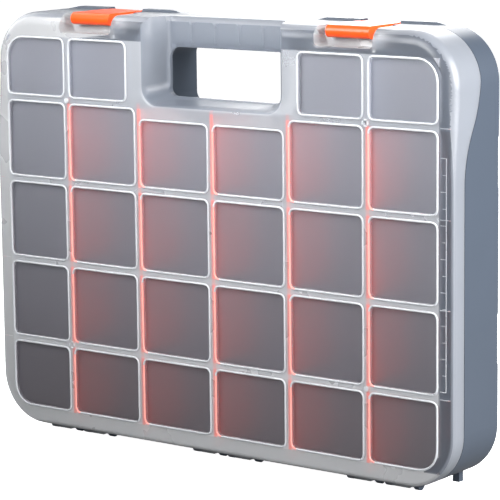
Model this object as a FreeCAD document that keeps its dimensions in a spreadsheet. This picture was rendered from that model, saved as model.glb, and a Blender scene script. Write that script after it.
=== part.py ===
import FreeCAD, Part
import math
import os

import Sketcher

# Small parts organizer: a standing carry case. X runs along its width, Y from the
# lid to the back, Z up. The origin is under the middle of the case, on the floor.
V = FreeCAD.Vector
doc = FreeCAD.newDocument("parts_organizer")
sheet = doc.addObject("Spreadsheet::Sheet", "dims")

SIZES = (
    # case
    ("case_width", 457.0),
    ("case_height", 350.0),
    ("case_depth", 66.0),
    ("foot_height", 6.7),
    ("corner_radius", 42.0),
    ("overrun", 5.0),
    # joint between lid and tray
    ("seam_low_depth", 15.4),
    ("seam_high_depth", 38.0),
    ("seam_low_drop", 118.0),
    ("seam_high_drop", 32.0),
    ("seam_gap", 0.7),
    ("fit_gap", 0.3),
    # lid
    ("lid_wall", 2.2),
    ("side_round", 3.5),
    ("top_round", 11.0),
    ("column_margin", 4.4),
    ("row_low_margin", 3.64),
    ("row_high_margin", 3.06),
    ("field_margin", 14.4),
    ("field_bottom", 14.9),
    ("field_top_drop", 20.7),
    ("rib_width", 5.4),
    ("bead_width", 1.5),
    ("bead_height", 0.9),
    ("window_radius", 5.0),
    ("corner_window_radius", 17.0),
    ("window_recess", 3.0),
    ("window_wall", 1.4),
    ("handle_window_drop", 8.3),
    ("peg_radius", 2.2),
    ("socket_radius", 3.2),
    ("socket_bore", 1.8),
    # handle
    ("scoop_width", 139.0),
    ("scoop_margin", 12.0),
    ("scoop_drop", 70.0),
    ("scoop_flare", 2.5),
    ("scoop_corner", 14.0),
    ("scoop_round", 8.0),
    ("grip_depth", 25.5),
    ("hole_width", 116.0),
    ("hole_drop", 24.7),
    ("hole_height", 40.0),
    ("hole_radius", 8.0),
    ("tunnel_wall", 2.0),
    ("tunnel_spread", 6.0),
    ("panel_pitch", 24.0),
    ("panel_gap", 2.4),
    ("panel_height", 18.0),
    ("panel_relief", 0.8),
    ("panel_radius", 2.5),
    # tray
    ("ring_wall", 2.2),
    ("tongue_reach", 11.0),
    ("ring_top_margin", 2.5),
    ("ring_top_radius", 28.0),
    ("cell_gap", 0.3),
    ("floor_depth", 56.0),
    ("floor_wall", 2.5),
    ("back_round", 3.0),
    ("notch_length", 45.7),
    ("notch_depth", 3.0),
    ("notch_slant", 4.0),
    ("upper_notch_share", 0.64),
    ("lower_notch_share", 0.249),
    ("foot_inset", 33.0),
    ("foot_width", 6.0),
    ("foot_depth", 56.0),
    ("foot_length", 6.0),
    # row walls and dividers
    ("row_wall", 2.0),
    ("top_row_drop", 1.8),
    ("guide_width", 1.5),
    ("guide_height", 1.2),
    ("divider_wall", 1.8),
    ("divider_bead", 3.2),
    ("divider_play", 0.2),
    # latches
    ("latch_share", 0.562),
    ("latch_width", 40.0),
    ("latch_neck_width", 36.0),
    ("latch_rise", 0.8),
    ("strap_wall", 3.0),
    ("bar_radius", 5.0),
    ("recess_width", 55.0),
    ("recess_drop", 15.5),
    ("recess_depth", 16.5),
    ("recess_radius", 4.0),
    ("lip_drop", 5.5),
    ("hook_gap", 0.5),
    ("neck_depth", 49.5),
    ("pivot_depth", 57.0),
    ("pivot_drop", 3.0),
    ("latch_barrel_radius", 3.6),
    ("latch_pin_radius", 1.8),
    ("latch_pin_length", 4.0),
    ("latch_play", 0.4),
    ("latch_swing_gap", 1.2),
    ("latch_ear_wall", 5.0),
    ("latch_ear_radius", 5.0),
    ("shoulder_reach", 66.0),
    ("shoulder_slope", 15.0),
    ("shoulder_rise", 2.0),
    ("shoulder_depth", 12.0),
    # lid hinge
    ("hinge_inset", 74.5),
    ("hinge_depth", 19.0),
    ("hinge_axis_height", 4.6),
    ("ear_width", 4.5),
    ("ear_pitch", 26.9),
    ("ear_inner_gap", 9.2),
    ("ear_radius", 4.6),
    ("barrel_radius", 3.2),
    ("barrel_play", 0.4),
    ("barrel_gap", 0.5),
    ("hinge_pin_radius", 1.9),
    ("hinge_pin_length", 4.0),
    ("pin_clearance", 0.08),
    ("clip_mouth", 3.0),
    ("web_wall", 3.2),
    ("web_reach", 9.5),
)
for number, (alias, value) in enumerate(SIZES, 1):
    sheet.set("A%d" % number, alias)
    sheet.set("B%d" % number, str(value))
    sheet.setAlias("B%d" % number, alias)
doc.recompute()

COLUMNS = 6
ROWS = 5
PANELS = 5
SIDES = (("left", -1), ("right", 1))

# Places that many pieces share, as expressions on the sheet.
FRONT = "(dims.bead_height - dims.case_depth) / 2"
BASE = "dims.foot_height"
TOP = "(dims.foot_height + dims.case_height)"
HALF = "dims.case_width / 2"
SKIN = "(dims.lid_wall + dims.fit_gap)"
CELL_FRONT = "(dims.window_recess + dims.window_wall + dims.cell_gap)"
NEST_FRONT = "(dims.lid_wall + dims.cell_gap)"
RING_HALF = "(%s - %s)" % (HALF, SKIN)
CELL_HALF = "(%s - dims.ring_wall)" % RING_HALF
RING_LOW = "(%s + %s)" % (BASE, SKIN)
CELL_LOW = "(%s + dims.ring_wall)" % RING_LOW
FIELD_HALF = "(%s - dims.field_margin)" % HALF
FIELD_HIGH = "(%s - dims.field_top_drop)" % TOP
COLUMN_PITCH = "((dims.case_width - 2 * dims.column_margin) / %d)" % COLUMNS
ROW_PITCH = "((dims.case_height - dims.row_low_margin - dims.row_high_margin) / %d)" % ROWS
TOP_CELL_EDGE = "(dims.scoop_width / 2 + dims.scoop_margin)"
HOLE_HIGH = "(%s - dims.hole_drop)" % TOP
HOLE_LOW = "(%s - dims.hole_height)" % HOLE_HIGH
LATCH_X = "(%s * dims.latch_share)" % HALF
HINGE_X = "(%s - dims.hinge_inset)" % HALF
FOOT_X = "(%s - dims.foot_inset)" % HALF
RING_HIGH = "(%s + dims.ring_top_margin)" % FIELD_HIGH
CELL_HIGH = "(%s - dims.ring_wall)" % RING_HIGH
NOTCH_EDGE = "(%s - dims.ring_wall)" % TOP_CELL_EDGE
PIVOT_Z = "(%s - dims.pivot_drop)" % TOP
AXIS_Z = "dims.hinge_axis_height"


def size(expression):
    """Value of an expression on the sheet, in mm."""
    return float(sheet.evalExpression(expression))


def deep(depth):
    """Y of a depth behind the lid's rib plane."""
    return "(%s + %s)" % (FRONT, depth)


def rib_x(line):
    """X of the rib between columns line and line + 1."""
    return "(%d * %s)" % (line - COLUMNS // 2, COLUMN_PITCH)


def rib_z(line):
    """Z of the rib between rows line and line + 1, counted from the top."""
    return "(%s + dims.row_low_margin + %d * %s)" % (BASE, ROWS - line, ROW_PITCH)


def wall_z(line):
    """Z of the middle of a row wall. The top one lies lower than its rib, under the handle."""
    return "(%s - dims.top_row_drop)" % rib_z(line) if line == 1 else rib_z(line)


def block(name, x, y, z):
    """Box between pairs of expressions."""
    box = doc.addObject("Part::Box", name)
    for prop, axis, (low, high) in (("Length", "x", x), ("Width", "y", y), ("Height", "z", z)):
        box.setExpression(prop, "(%s) - (%s)" % (high, low))
        box.setExpression("Placement.Base." + axis, low)
    return box


def rod(name, x, y, z, radius):
    """Cylinder along X between a pair of expressions."""
    cylinder = doc.addObject("Part::Cylinder", name)
    cylinder.Placement.Rotation = FreeCAD.Rotation(V(0, 1, 0), 90)
    cylinder.setExpression("Radius", radius)
    cylinder.setExpression("Height", "(%s) - (%s)" % (x[1], x[0]))
    cylinder.setExpression("Placement.Base.x", x[0])
    cylinder.setExpression("Placement.Base.y", y)
    cylinder.setExpression("Placement.Base.z", z)
    return cylinder


def stud(name, x, y, z, radius):
    """Cylinder along Y between a pair of expressions."""
    cylinder = doc.addObject("Part::Cylinder", name)
    cylinder.Placement.Rotation = FreeCAD.Rotation(V(1, 0, 0), -90)
    cylinder.setExpression("Radius", radius)
    cylinder.setExpression("Height", "(%s) - (%s)" % (y[1], y[0]))
    cylinder.setExpression("Placement.Base.x", x)
    cylinder.setExpression("Placement.Base.y", y[0])
    cylinder.setExpression("Placement.Base.z", z)
    return cylinder


def prism(name, profile, y):
    """Profile drawn on its own front plane, extruded along Y."""
    body = doc.addObject("Part::Extrusion", name)
    body.Base = profile
    body.DirMode = "Custom"
    body.Dir = V(0, 1, 0)
    body.Solid = True
    body.setExpression("LengthFwd", "(%s) - (%s)" % (y[1], y[0]))
    return body


def core_plane(name, x, y, z, inset):
    """Rectangle on an XZ plane, inset on all sides, for rounded offsets."""
    plane = doc.addObject("Part::Plane", name)
    plane.Placement.Rotation = FreeCAD.Rotation(V(1, 0, 0), 90)
    plane.setExpression("Length", "(%s) - (%s) - 2 * (%s)" % (x[1], x[0], inset))
    plane.setExpression("Width", "(%s) - (%s) - 2 * (%s)" % (z[1], z[0], inset))
    plane.setExpression("Placement.Base.x", "(%s) + %s" % (x[0], inset))
    plane.setExpression("Placement.Base.y", y)
    plane.setExpression("Placement.Base.z", "(%s) + %s" % (z[0], inset))
    return plane


def grown(name, plane, radius):
    """Plane grown outwards, with round corners."""
    face = doc.addObject("Part::Offset2D", name)
    face.Source = plane
    face.Mode = "Skin"
    face.Join = "Arc"
    face.setExpression("Value", radius)
    return face


def rounded(name, x, y, z, radius):
    """Block along Y with its four long edges rounded."""
    plane = core_plane(name + "_core", x, y[0], z, radius)
    return prism(name, grown(name + "_face", plane, radius), y)


def outline(name, half, low, high, low_radius, high_radius, y):
    """Sketch of a symmetric rounded outline on an XZ plane, extruded along Y."""
    sketch = doc.addObject("Sketcher::SketchObject", name + "_sketch")
    sketch.Placement.Rotation = FreeCAD.Rotation(V(1, 0, 0), 90)
    sketch.setExpression("Placement.Base.y", y[0])
    w, a, b = size(half), size(low), size(high)
    r, s = size(low_radius), size(high_radius)

    def line(x0, z0, x1, z1):
        return sketch.addGeometry(Part.LineSegment(V(x0, z0, 0), V(x1, z1, 0)))

    def arc(x, z, radius, start):
        circle = Part.Circle(V(x, z, 0), V(0, 0, 1), radius)
        first = math.radians(start)
        return sketch.addGeometry(Part.ArcOfCircle(circle, first, first + math.pi / 2))

    loop = [
        line(r - w, a, w - r, a), arc(w - r, a + r, r, 270),
        line(w, a + r, w, b - s), arc(w - s, b - s, s, 0),
        line(w - s, b, s - w, b), arc(s - w, b - s, s, 90),
        line(-w, b - s, -w, a + r), arc(r - w, a + r, r, 180),
    ]
    for one, two in zip(loop, loop[1:] + loop[:1]):
        sketch.addConstraint(Sketcher.Constraint("Tangent", one, 2, two, 1))
    for edge in loop[0::4]:
        sketch.addConstraint(Sketcher.Constraint("Horizontal", edge))
    for edge in loop[2::4]:
        sketch.addConstraint(Sketcher.Constraint("Vertical", edge))
    sketch.addConstraint(Sketcher.Constraint("Equal", loop[1], loop[7]))
    sketch.addConstraint(Sketcher.Constraint("Equal", loop[3], loop[5]))
    driven = (
        (Sketcher.Constraint("Radius", loop[1], r), low_radius),
        (Sketcher.Constraint("Radius", loop[3], s), high_radius),
        (Sketcher.Constraint("DistanceX", -1, 1, loop[2], 1, w), half),
        (Sketcher.Constraint("DistanceX", loop[6], 1, -1, 1, w), half),
        (Sketcher.Constraint("DistanceY", -1, 1, loop[0], 1, a), low),
        (Sketcher.Constraint("DistanceY", -1, 1, loop[4], 1, b), high),
    )
    for constraint, expression in driven:
        index = sketch.addConstraint(constraint)
        sketch.setExpression("Constraints[%d]" % index, expression)
    return prism(name, sketch, y)


def fuse(name, shapes):
    """Union of several objects, or the one object itself."""
    if len(shapes) == 1:
        return shapes[0]
    joined = doc.addObject("Part::MultiFuse", name)
    joined.Shapes = shapes
    return joined


def common(name, one, two):
    """Intersection of two objects."""
    both = doc.addObject("Part::MultiCommon", name)
    both.Shapes = [one, two]
    return both


def cut(name, base, tool):
    """Base less tool."""
    rest = doc.addObject("Part::Cut", name)
    rest.Base = base
    rest.Tool = tool
    return rest


def feature(name, shape):
    """Document object for a shape that the sheet's sizes were read for."""
    made = doc.addObject("Part::Feature", name)
    made.Shape = shape
    return made


def loop_wire(half, low, high, radius, y, splits=()):
    """Closed outline on an XZ plane, its upright sides split at some heights."""
    slant = math.sqrt(0.5)
    steps = ((0, -1), (slant, -slant), (1, 0), (slant, slant), (0, 1))
    right, left = half - radius, radius - half
    bottom, top = low + radius, high - radius

    def arc(x, z, points):
        return Part.Arc(*[V(x + radius * u, y, z + radius * v) for u, v in points]).toShape()

    def up(x, heights):
        return [Part.makeLine(V(x, y, a), V(x, y, b)) for a, b in zip(heights, heights[1:])]

    heights = [bottom] + list(splits) + [top]
    mirrored = [(-u, v) for u, v in steps]
    edges = [Part.makeLine(V(left, y, low), V(right, y, low)), arc(right, bottom, steps[:3])]
    edges += up(half, heights)
    edges += [arc(right, top, steps[2:]), Part.makeLine(V(right, y, high), V(left, y, high))]
    edges += [arc(left, top, mirrored[:1:-1])]
    edges += up(-half, heights[::-1])
    edges += [arc(left, bottom, mirrored[2::-1])]
    return Part.Wire(edges)


def seam_volume(name, shift):
    """Room in front of the seam: straight low down, then an S of two arcs to the deep top."""
    near = size(deep("dims.seam_low_depth + " + shift))
    far = size(deep("dims.seam_high_depth + " + shift))
    low = size("%s - dims.seam_low_drop" % TOP)
    high = size("%s - dims.seam_high_drop" % TOP)
    over = size("dims.overrun")
    run, rise = far - near, high - low
    radius = (run * run + rise * rise) / (4 * run)
    half_turn = math.asin(rise / (2 * radius)) / 2
    x = -size(HALF) - over
    start, end = V(x, near, low), V(x, far, high)
    middle = (start + end) / 2
    bend = V(0, radius * (1 - math.cos(half_turn)), radius * math.sin(half_turn))
    floor, roof = -over, size(TOP) + over
    front = size(FRONT) - size("dims.bead_height") - over
    corners = [V(x, far, roof), V(x, front, roof), V(x, front, floor), V(x, near, floor), start]
    edges = [Part.Arc(start, start + bend, middle).toShape(), Part.Arc(middle, end - bend, end).toShape()]
    edges += [Part.makeLine(a, b) for a, b in zip([end] + corners, corners)]
    face = Part.Face(Part.Wire(edges))
    return feature(name, face.extrude(V(-2 * x, 0, 0)))


def rounded_shell_form(name, wall):
    """Lid form, inset by a wall, with front edges that turn softer towards the top."""
    inset = size(wall)
    half, low, high = size(HALF) - inset, size(BASE) + inset, size(TOP) - inset
    front = size(FRONT) + inset
    depth = size("dims.case_depth")
    soft_low = size("%s - dims.seam_low_drop" % TOP)
    radius = size("dims.corner_radius") - inset
    wire = loop_wire(half, low, high, radius, front, [soft_low])
    form = feature(name + "_form", Part.Face(wire).extrude(V(0, depth, 0)))
    side, top = size("dims.side_round") - inset, size("dims.top_round") - inset
    edges = []
    tiny = size("dims.fit_gap")
    for number, edge in enumerate(form.Shape.Edges, 1):
        bounds = edge.BoundBox
        if bounds.YMax > front + tiny:
            continue
        ends = [edge.Vertexes[0].Point.z, edge.Vertexes[-1].Point.z]
        changes = min(ends) > soft_low - tiny and bounds.ZMax < high - radius + tiny
        if changes:
            radii = [side if z < soft_low + tiny else top for z in ends]
        else:
            radii = [side if bounds.ZMax < soft_low + tiny else top] * 2
        edges.append((number, radii[0], radii[1]))
    soft = doc.addObject("Part::Fillet", name)
    soft.Base = form
    soft.Edges = edges
    return soft


def windows():
    """Bead loops of all windows as (name, x pair, z pair)."""
    edge = "dims.rib_width / 2"
    found = []
    for row in range(1, ROWS + 1):
        for column in range(1, COLUMNS + 1):
            middle = column in (3, 4)
            if row == 1 and middle:
                continue
            x0 = "%s + %s" % (rib_x(column - 1), edge) if column > 1 else "-" + FIELD_HALF
            x1 = "%s - %s" % (rib_x(column), edge) if column < COLUMNS else FIELD_HALF
            z1 = "%s - %s" % (rib_z(row - 1), edge) if row > 1 else FIELD_HIGH
            z0 = "%s + %s" % (rib_z(row), edge) if row < ROWS else BASE + " + dims.field_bottom"
            if row == 1 and column == 2:
                x1 = "-" + TOP_CELL_EDGE
            if row == 1 and column == 5:
                x0 = TOP_CELL_EDGE
            if row == 2 and middle:
                z1 += " - dims.handle_window_drop"
            found.append(("window_r%d_c%d" % (row, column), (x0, x1), (z0, z1)))
    return found


def window_set():
    """All window blocks with their beads, and the pockets that leave each panel recessed."""
    front = deep("-dims.bead_height")
    back = deep("(dims.window_recess + dims.window_wall)")
    pocket = (deep("-dims.bead_height - dims.overrun"), deep("dims.window_recess"))
    half_bead = "dims.bead_width / 2"
    blocks, pockets = [], []
    for name, x, z in windows():
        plane = core_plane(name + "_core", x, front, z, "dims.window_radius")
        outer = grown(name + "_outer", plane, "dims.window_radius + " + half_bead)
        blocks.append(prism(name + "_block", outer, (front, back)))
        plane = core_plane(name + "_pocket_core", x, pocket[0], z, "dims.window_radius")
        inner = grown(name + "_inner", plane, "dims.window_radius - " + half_bead)
        pockets.append(prism(name + "_pocket", inner, pocket))
    fields = []
    for name, sign, y in (("block_field", "+", (front, back)), ("pocket_field", "-", pocket)):
        reach = "%s %s" % (sign, half_bead)
        back_reach = "%s %s" % ("-" if sign == "+" else "+", half_bead)
        x = ("-%s %s" % (FIELD_HALF, back_reach), "%s %s" % (FIELD_HALF, reach))
        z = ("%s + dims.field_bottom %s" % (BASE, back_reach), "%s %s" % (FIELD_HIGH, reach))
        fields.append(rounded(name, x, y, z, "dims.corner_window_radius " + reach))
    return (
        common("window_blocks", fuse("all_blocks", blocks), fields[0]),
        common("window_pockets", fuse("all_pockets", pockets), fields[1]),
    )


def scoop(name, wall):
    """Handle scoop: sides slope in and the floor slopes up to the grip plane, with a round foot."""
    grow = size(wall)
    over = size("dims.overrun")
    front, back = size(FRONT), size(deep("dims.grip_depth")) + grow
    high = size(TOP) + 2 * over + size("dims.scoop_corner")
    corner = size("dims.scoop_corner")
    wide, narrow = size("dims.scoop_width") / 2 + grow, size("dims.hole_width") / 2 + grow
    base = size("%s - dims.scoop_drop" % TOP) - grow
    slot_low = size(HOLE_LOW) - grow
    near = loop_wire(wide, base, high, corner, front)
    deep_end = loop_wire(narrow, slot_low, high, corner, back)
    body = Part.makeLoft([near, deep_end], True, True)
    tiny = size("dims.fit_gap")
    foot = [e for e in body.Edges if e.BoundBox.YMin > back - tiny and e.BoundBox.ZMin < high - tiny]
    body = body.makeFillet(size("dims.scoop_round") + grow, foot)
    if not grow:
        flare = size("dims.scoop_flare")
        share = flare / (back - front)
        mid_wide, mid_base = wide + share * (narrow - wide), base + share * (slot_low - base)
        rim = loop_wire(wide + flare, base - flare, high, corner + flare, front)
        neck = loop_wire(mid_wide, mid_base, high, corner, front + flare)
        body = body.fuse(Part.makeLoft([rim, neck], True, True))
        body = body.fuse(Part.Face(rim).extrude(V(0, -size("dims.bead_height") - over, 0)))
    return feature(name, body)


def lid_hinge_x():
    """Middles of the six hinge barrels, as expressions."""
    half = "(dims.ear_pitch + dims.ear_inner_gap) / 2"
    return ["%d * %s %s %s" % (s, HINGE_X, sign, half) for s in (-1, 0, 1) for sign in "-+"]


def hinge_tools(kind):
    """Barrels, pins and webs of the lid, or the ears of the tray, or the room that one needs in the other."""
    y, made = deep("dims.hinge_depth"), []
    barrel = "(dims.ear_pitch - dims.ear_width - 2 * dims.barrel_play) / 2"
    for number, middle in enumerate(lid_hinge_x(), 1):
        span = ("%s - %s" % (middle, barrel), "%s + %s" % (middle, barrel))
        name = "hinge_%d_%s" % (number, kind)
        if kind == "barrel":
            ends = (span[0] + " - dims.hinge_pin_length", span[1] + " + dims.hinge_pin_length")
            low = "%s - dims.web_wall / 2" % AXIS_Z
            made.append(rod(name, span, y, AXIS_Z, "dims.barrel_radius"))
            made.append(rod(name + "_pin", ends, y, AXIS_Z, "dims.hinge_pin_radius"))
            reach = (deep("dims.hinge_depth - dims.web_reach"), y)
            made.append(block(name + "_web", span, reach, (low, "%s + dims.web_wall / 2" % AXIS_Z)))
            root = (reach[0], deep("dims.seam_low_depth - dims.seam_gap"))
            made.append(block(name + "_root", span, root, (low, "%s + dims.lid_wall / 2" % BASE)))
        elif kind == "room":
            made.append(rod(name, span, y, AXIS_Z, "dims.barrel_radius + dims.barrel_gap"))
        else:
            for side, sign in SIDES:
                centre = "%s + %d * dims.ear_pitch / 2" % (middle, sign)
                half = "dims.ear_width / 2"
                if kind == "notch":
                    half = "(dims.ear_width / 2 + dims.barrel_gap)"
                ear = ("%s - %s" % (centre, half), "%s + %s" % (centre, half))
                label = "%s_%s" % (name, side)
                if kind == "notch":
                    made.append(rod(label, ear, y, AXIS_Z, "dims.ear_radius + dims.barrel_gap"))
                elif kind == "ear":
                    made.append(rod(label, ear, y, AXIS_Z, "dims.ear_radius"))
                    back = (deep("dims.seam_low_depth + dims.seam_gap"), deep("dims.hinge_depth + dims.ear_radius"))
                    made.append(block(label + "_root", ear, back, (AXIS_Z, "%s + dims.lid_wall / 2" % BASE)))
                elif kind == "bore":
                    made.append(rod(label, ear, y, AXIS_Z, "dims.hinge_pin_radius + dims.pin_clearance"))
                    mouth = (deep("dims.hinge_depth - dims.ear_radius - dims.barrel_gap"), y)
                    tall = ("%s - dims.clip_mouth / 2" % AXIS_Z, "%s + dims.clip_mouth / 2" % AXIS_Z)
                    made.append(block(label + "_mouth", ear, mouth, tall))
    return fuse("hinge_" + kind, made)


def latch_rooms(kind):
    """Latch recess and strap channel of the lid, or the walls round them."""
    made = []
    grow = "dims.lid_wall" if kind == "wall" else "0"
    roof = "%s + dims.overrun" % TOP
    for side, sign in SIDES:
        middle = "%d * %s" % (sign, LATCH_X)
        half = "(dims.recess_width / 2 + %s)" % grow
        x = ("%s - %s" % (middle, half), "%s + %s" % (middle, half))
        front = deep("-dims.overrun")
        y = (front, deep("dims.recess_depth + %s" % grow))
        z = ("%s - dims.recess_drop - %s" % (TOP, grow), roof)
        made.append(rounded("recess_%s_%s" % (kind, side), x, y, z, "dims.recess_radius + %s" % grow))
        y = (deep("dims.recess_depth"), deep("dims.seam_high_depth + dims.overrun"))
        z = ("%s - dims.lip_drop - %s" % (TOP, grow), roof)
        made.append(block("channel_%s_%s" % (kind, side), x, y, z))
    return fuse("latch_" + kind, made)


def grip_panels():
    """Raised pads along the front of the grip."""
    made = []
    half = "(dims.panel_pitch - dims.panel_gap) / 2"
    low = "%s + dims.panel_gap" % HOLE_HIGH
    for number in range(PANELS):
        middle = "%d * dims.panel_pitch" % (number - PANELS // 2)
        x = ("%s - %s" % (middle, half), "%s + %s" % (middle, half))
        y = (deep("dims.grip_depth - dims.panel_relief"), deep("dims.grip_depth + dims.lid_wall / 2"))
        made.append(rounded("grip_panel_%d" % (number + 1), x, y, (low, low + " + dims.panel_height"), "dims.panel_radius"))
    return made


def handle_slot(name, wall, y, low, spread):
    """Rounded slot of the handle, grown by a wall."""
    half = "(dims.hole_width / 2 + %s + %s)" % (spread, wall)
    z = ("%s - %s" % (low, wall), "%s + %s" % (HOLE_HIGH, wall))
    return rounded(name, ("-" + half, half), y, z, "dims.hole_radius + %s" % wall)


def make_lid():
    """Frosted lid: soft shell, recessed windows, handle scoop, latch recesses and hinge barrels."""
    envelope = common("lid_envelope", rounded_shell_form("lid_outside", "0"), seam_volume("lid_seam", "-dims.seam_gap / 2"))
    shell = cut("lid_shell", envelope, rounded_shell_form("lid_inside", "dims.lid_wall"))
    blocks, pockets = window_set()
    walls = fuse("lid_inner_walls", [scoop("scoop_wall", "dims.lid_wall"), latch_rooms("wall")])
    walls = common("lid_trimmed_walls", walls, envelope)
    solid = fuse("lid_solid", [shell, walls, blocks])
    far = deep("dims.seam_high_depth + dims.overrun")
    slot = handle_slot("lid_slot", "0", (deep("dims.grip_depth - dims.overrun"), far), HOLE_LOW, "0")
    rooms = fuse("lid_rooms", [scoop("scoop_room", "0"), slot, latch_rooms("room"), pockets, hinge_tools("notch")])
    body = cut("lid_body", solid, rooms)
    top = deep("-dims.bead_height")
    inside = deep("dims.lid_wall / 2")
    extras = [body, hinge_tools("barrel")] + grip_panels()
    bores = []
    for line, row in ((1, 1), (COLUMNS - 1, ROWS - 1)):
        extras.append(stud("peg_%d" % line, rib_x(line), (top, inside), rib_z(row), "dims.peg_radius"))
    for line, row in ((COLUMNS - 1, 1), (1, ROWS - 1)):
        extras.append(stud("socket_%d" % line, rib_x(line), (top, inside), rib_z(row), "dims.socket_radius"))
        bores.append(stud("bore_%d" % line, rib_x(line), (deep("-dims.overrun"), inside), rib_z(row), "dims.socket_bore"))
    return cut("lid", fuse("lid_with_barrels", extras), fuse("socket_bores", bores))


def guide_blocks(name, z, faces):
    """Grooved guides for the dividers on a row wall: blocks, and the slots to cut in them."""
    blocks, slots = [], []
    y = (deep(CELL_FRONT + " + dims.divider_bead"), deep("dims.floor_depth"))
    slot_half = "(dims.divider_wall / 2 + dims.divider_play)"
    half = "(%s + dims.guide_width)" % slot_half
    for line, up, down in faces:
        label = "%s_guide_%d" % (name, line)
        x = rib_x(line)
        low = "%s - dims.row_wall / 2 - dims.guide_height" % z if down else z
        high = "%s + dims.row_wall / 2 + dims.guide_height" % z if up else z
        blocks.append(block(label, ("%s - %s" % (x, half), "%s + %s" % (x, half)), y, (low, high)))
        across = ("%s - %s" % (x, slot_half), "%s + %s" % (x, slot_half))
        along = (deep("0"), y[1])
        if up:
            tall = ("%s + dims.row_wall / 2" % z, high + " + dims.guide_height")
            slots.append(block(label + "_up", across, along, tall))
        if down:
            tall = (low + " - dims.guide_height", "%s - dims.row_wall / 2" % z)
            slots.append(block(label + "_down", across, along, tall))
    return blocks, slots


def row_wall(name, line, x, lines):
    """Fixed wall between two rows, with guides for the dividers above and below it."""
    z = wall_z(line)
    y = (deep(CELL_FRONT if line == 1 else NEST_FRONT), deep("dims.floor_depth"))
    plate = block(name + "_plate", x, y, ("%s - dims.row_wall / 2" % z, "%s + dims.row_wall / 2" % z))
    blocks, slots = guide_blocks(name, z, [(n, line > 1, True) for n in lines])
    return cut(name, fuse(name + "_ribbed", [plate] + blocks), fuse(name + "_slots", slots))


def latch_mount(side, sign):
    """Tray parts at one latch: shoulders and ears to add, and the slot and pin bores to cut."""
    middle = "%d * %s" % (sign, LATCH_X)
    slot_half = "(dims.latch_neck_width / 2 + dims.latch_play)"
    y = deep("dims.pivot_depth")
    added, removed = [], []
    for name, way in SIDES:
        label = "%s_%s" % (side, name)
        near = "%s + %d * %s" % (middle, way, slot_half)
        far = "%s + %d * dims.latch_ear_wall" % (near, way)
        x = (near, far) if way > 0 else (far, near)
        added.append(rod("latch_ear_" + label, x, y, PIVOT_Z, "dims.latch_ear_radius"))
        deep_y = (deep("dims.pivot_depth - dims.latch_ear_radius"), deep("dims.pivot_depth + dims.latch_ear_radius"))
        added.append(block("latch_ear_root_" + label, x, deep_y, (PIVOT_Z, "%s - dims.lid_wall / 2" % TOP)))
        removed.append(rod("latch_bore_" + label, x, y, PIVOT_Z, "dims.latch_pin_radius + dims.pin_clearance"))
        pad = doc.addObject("Part::Wedge", "shoulder_" + label)
        pad.Placement.Rotation = FreeCAD.Rotation(V(1, 0, 0), 90)
        end = "dims.shoulder_reach"
        ramp = "dims.shoulder_reach - dims.shoulder_slope"
        low, high = (slot_half, end) if way > 0 else ("-" + end, "-" + slot_half)
        low2, high2 = (slot_half, ramp) if way > 0 else ("-(%s)" % ramp, "-" + slot_half)
        for prop, expression in (
            ("Xmin", low), ("Xmax", high), ("X2min", low2), ("X2max", high2),
            ("Ymin", "-dims.lid_wall / 2"), ("Ymax", "dims.shoulder_rise"),
            ("Zmin", "-dims.shoulder_depth / 2"), ("Zmax", "dims.shoulder_depth / 2"),
            ("Z2min", "-dims.shoulder_depth / 2 + dims.shoulder_rise"),
            ("Z2max", "dims.shoulder_depth / 2 - dims.shoulder_rise"),
            ("Placement.Base.x", middle), ("Placement.Base.y", y), ("Placement.Base.z", TOP),
        ):
            pad.setExpression(prop, expression)
        added.append(pad)
    gap = "(dims.latch_barrel_radius + dims.latch_swing_gap)"
    x = ("%s - %s" % (middle, slot_half), "%s + %s" % (middle, slot_half))
    reach = (deep("dims.seam_high_depth - dims.overrun"), deep("dims.pivot_depth + " + gap))
    wide = "(dims.latch_width / 2 + dims.latch_play)"
    strap_x = ("%s - %s" % (middle, wide), "%s + %s" % (middle, wide))
    strap_y = (reach[0], deep("dims.neck_depth + dims.latch_swing_gap"))
    strap_low = "%s + dims.latch_rise - dims.strap_wall - dims.latch_swing_gap" % TOP
    removed.append(block("strap_slot_" + side, strap_x, strap_y, (strap_low, "%s + dims.overrun" % TOP)))
    removed.append(block("latch_slot_" + side, x, reach, (PIVOT_Z + " - " + gap, "%s + dims.overrun" % TOP)))
    return added, removed


def rim_notch(name, sign, share):
    """Shallow notch in the back rim of one side, with slanted ends."""
    notch = doc.addObject("Part::Wedge", name)
    for prop, expression in (
        ("Xmin", "-dims.overrun"), ("Xmax", "dims.overrun"),
        ("X2min", "-dims.overrun"), ("X2max", "dims.overrun"),
        ("Ymin", "-dims.notch_depth"), ("Ymax", "0"),
        ("Zmin", "dims.notch_slant"), ("Zmax", "dims.notch_length - dims.notch_slant"),
        ("Z2min", "0"), ("Z2max", "dims.notch_length"),
        ("Placement.Base.x", "%d * %s" % (sign, HALF)),
        ("Placement.Base.y", deep("dims.case_depth")),
        ("Placement.Base.z", "%s + dims.case_height * %s" % (BASE, share)),
    ):
        notch.setExpression(prop, expression)
    return notch


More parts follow.
